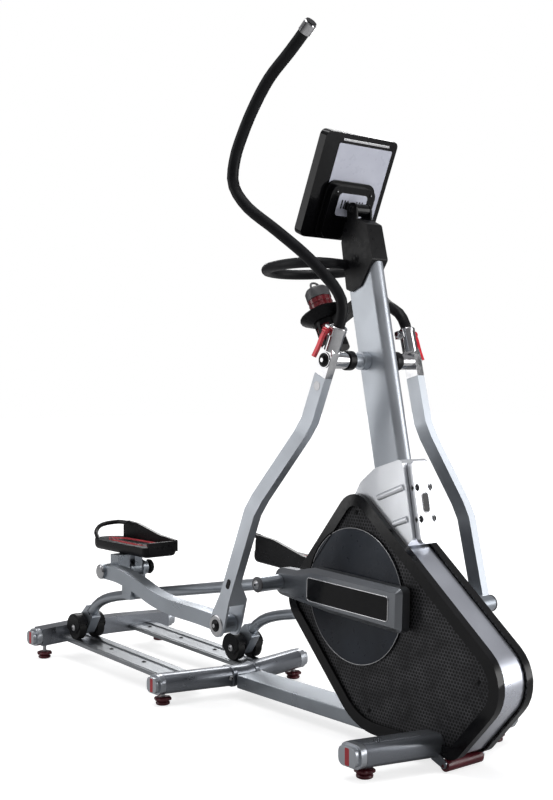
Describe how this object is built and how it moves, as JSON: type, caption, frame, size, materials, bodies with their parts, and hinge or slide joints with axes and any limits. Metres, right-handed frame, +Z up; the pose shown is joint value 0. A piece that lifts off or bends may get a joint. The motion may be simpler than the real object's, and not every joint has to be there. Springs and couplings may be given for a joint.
{
  "type": "elliptical trainer",
  "caption": "Front-drive elliptical trainer: side-cranked roller tubes on twin rails carry pedals linked to swinging arms on a leaning mast with a tilting console.",
  "frame": {"origin": "on the floor under the centre of the bounding box", "axes": "+Z up, -Y towards the console end (the front), +X towards the left of a standing user, who faces -Y"},
  "size_m": [0.712, 1.8879, 1.8036],
  "materials": {
    "black_plastic": "moulded",
    "cast_iron": "machined",
    "chrome": "polished",
    "dark_red_plastic": "moulded",
    "foam": "foam",
    "gloss_black": "gloss",
    "grey_metallic": "metallic grey",
    "navy_plastic": "satin",
    "rail_aluminium": "anodised",
    "red_paint": "metallic red",
    "rubber": "matte",
    "silver_paint": "metallic silver",
    "steel": "machined",
    "white_plastic": "satin pearl"
  },
  "bodies": {
    "frame": {"main_beam": "silver_paint", "front_stabiliser": "silver_paint", "front_end_cap_right": "silver_paint", "front_foot_right": "dark_red_plastic", "front_end_cap_left": "silver_paint", "front_foot_left": "dark_red_plastic", "middle_stabiliser": "silver_paint", "middle_end_cap_right": "silver_paint", "middle_foot_right": "dark_red_plastic", "middle_end_cap_left": "silver_paint", "middle_foot_left": "dark_red_plastic", "rear_stabiliser": "silver_paint", "rear_end_cap_right": "silver_paint", "rear_foot_right": "dark_red_plastic", "rear_end_cap_left": "silver_paint", "rear_foot_left": "dark_red_plastic", "rail_right": "rail_aluminium", "rail_left": "rail_aluminium", "inner_frame": "steel", "drive_belt": "rubber", "brake_magnet": "steel", "mast": "silver_paint", "centre_band": "silver_paint", "mast_base_cover": "white_plastic", "mast_clamp_cover": "white_plastic", "cross_shaft": "silver_paint", "console_neck": "black_plastic", "fixed_handlebar": "foam", "bottle_holder": "black_plastic", "side_cover_right": "black_plastic", "side_cover_left": "black_plastic"},
    "crank": {"drive_pulley_and_axle": "cast_iron", "crank_disc_right": "navy_plastic", "crank_arm_cover_right": "grey_metallic", "crank_disc_left": "navy_plastic", "crank_arm_cover_left": "grey_metallic"},
    "flywheel": {"flywheel": "cast_iron"},
    "transport_roller": {"transport_roller": "dark_red_plastic"},
    "console": {"console": "gloss_black"},
    "bottle": {"bottle": "dark_red_plastic"},
    "right_roller_tube": {"roller_tube_right": "silver_paint", "carriage_bracket_right": "silver_paint"},
    "right_inner_wheel": {"carriage_wheel_inner_right": "rubber"},
    "right_outer_wheel": {"carriage_wheel_outer_right": "rubber"},
    "right_pedal_arm": {"pedal_arm_right": "silver_paint", "pedal_right": "black_plastic"},
    "right_swing_arm": {"swing_bracket_right": "chrome", "swing_arm_right": "silver_paint", "handlebar_right": "foam"},
    "right_clamp_lever": {"clamp_lever_right": "red_paint"},
    "left_roller_tube": {"roller_tube_left": "silver_paint", "carriage_bracket_left": "silver_paint"},
    "left_inner_wheel": {"carriage_wheel_inner_left": "rubber"},
    "left_outer_wheel": {"carriage_wheel_outer_left": "rubber"},
    "left_pedal_arm": {"pedal_arm_left": "silver_paint", "pedal_left": "black_plastic"},
    "left_swing_arm": {"swing_bracket_left": "chrome", "swing_arm_left": "silver_paint", "handlebar_left": "foam"},
    "left_clamp_lever": {"clamp_lever_left": "red_paint"}
  },
  "joints": [
    {"name": "right_stride", "type": "slide", "parent": "frame", "child": "right_roller_tube", "axis": [0, -0.9994, -0.0349], "range_m": [0, 0.514]},
    {"name": "left_stride", "type": "slide", "parent": "frame", "child": "left_roller_tube", "axis": [0, 0.9994, 0.0349], "range_m": [0, 0.514]},
    {"name": "crank_turn", "type": "hinge", "parent": "frame", "child": "crank", "pos_m": [0, -0.456, 0.38], "axis": [1, 0, 0], "continuous": true},
    {"name": "flywheel_turn", "type": "hinge", "parent": "frame", "child": "flywheel", "pos_m": [0, -0.746, 0.225], "axis": [1, 0, 0], "continuous": true},
    {"name": "right_inner_wheel_turn", "type": "hinge", "parent": "right_roller_tube", "child": "right_inner_wheel", "pos_m": [-0.104, 0.794, 0.11558], "axis": [1, 0, 0], "continuous": true},
    {"name": "right_outer_wheel_turn", "type": "hinge", "parent": "right_roller_tube", "child": "right_outer_wheel", "pos_m": [-0.172, 0.794, 0.11558], "axis": [1, 0, 0], "continuous": true},
    {"name": "right_pedal_arm_tilt", "type": "hinge", "parent": "right_roller_tube", "child": "right_pedal_arm", "pos_m": [-0.187, 0.489, 0.349], "axis": [1, 0, 0], "range_deg": [0, 2.9]},
    {"name": "right_arm_swing", "type": "hinge", "parent": "frame", "child": "right_swing_arm", "pos_m": [-0.15, -0.459, 0.993], "axis": [1, 0, 0], "range_deg": [-38.04, 0]},
    {"name": "right_lever_release", "type": "hinge", "parent": "right_swing_arm", "child": "right_clamp_lever", "pos_m": [-0.183, -0.4914, 1.06395], "axis": [0, 0.9097, 0.4153], "range_deg": [0, 70]},
    {"name": "left_inner_wheel_turn", "type": "hinge", "parent": "left_roller_tube", "child": "left_inner_wheel", "pos_m": [0.104, 0.28031, 0.09764], "axis": [1, 0, 0], "continuous": true},
    {"name": "left_outer_wheel_turn", "type": "hinge", "parent": "left_roller_tube", "child": "left_outer_wheel", "pos_m": [0.172, 0.28031, 0.09764], "axis": [1, 0, 0], "continuous": true},
    {"name": "left_pedal_arm_tilt", "type": "hinge", "parent": "left_roller_tube", "child": "left_pedal_arm", "pos_m": [0.187, -0.02469, 0.33106], "axis": [1, 0, 0], "range_deg": [-2.9, 0]},
    {"name": "left_arm_swing", "type": "hinge", "parent": "frame", "child": "left_swing_arm", "pos_m": [0.15, -0.459, 0.993], "axis": [1, 0, 0], "range_deg": [0, 38.04]},
    {"name": "left_lever_release", "type": "hinge", "parent": "left_swing_arm", "child": "left_clamp_lever", "pos_m": [0.183, -0.44079, 1.06884], "axis": [0, 0.9724, -0.2334], "range_deg": [-70, 0]},
    {"name": "transport_roller_turn", "type": "hinge", "parent": "frame", "child": "transport_roller", "pos_m": [0, -0.778, 0.018], "axis": [1, 0, 0], "continuous": true},
    {"name": "console_tilt", "type": "hinge", "parent": "frame", "child": "console", "pos_m": [0, -0.412, 1.394], "axis": [1, 0, 0], "range_deg": [-12, 12]},
    {"name": "bottle_lift", "type": "slide", "parent": "frame", "child": "bottle", "axis": [0, 0.454, 0.891], "range_m": [0, 0.12]}
  ],
  "couplings": [
    {"joint": "left_stride", "follows": "right_stride", "ratio": 1},
    {"joint": "crank_turn", "follows": "right_stride", "rad_per_m": 6.112},
    {"joint": "flywheel_turn", "follows": "right_stride", "rad_per_m": 37.351},
    {"joint": "right_inner_wheel_turn", "follows": "right_stride", "rad_per_m": 25.641},
    {"joint": "right_outer_wheel_turn", "follows": "right_stride", "rad_per_m": 25.641},
    {"joint": "right_pedal_arm_tilt", "follows": "right_stride", "rad_per_m": 0.098472},
    {"joint": "right_arm_swing", "follows": "right_stride", "rad_per_m": -1.2917},
    {"joint": "left_inner_wheel_turn", "follows": "right_stride", "rad_per_m": -25.641},
    {"joint": "left_outer_wheel_turn", "follows": "right_stride", "rad_per_m": -25.641},
    {"joint": "left_pedal_arm_tilt", "follows": "right_stride", "rad_per_m": -0.098472},
    {"joint": "left_arm_swing", "follows": "right_stride", "rad_per_m": 1.2917}
  ]
}
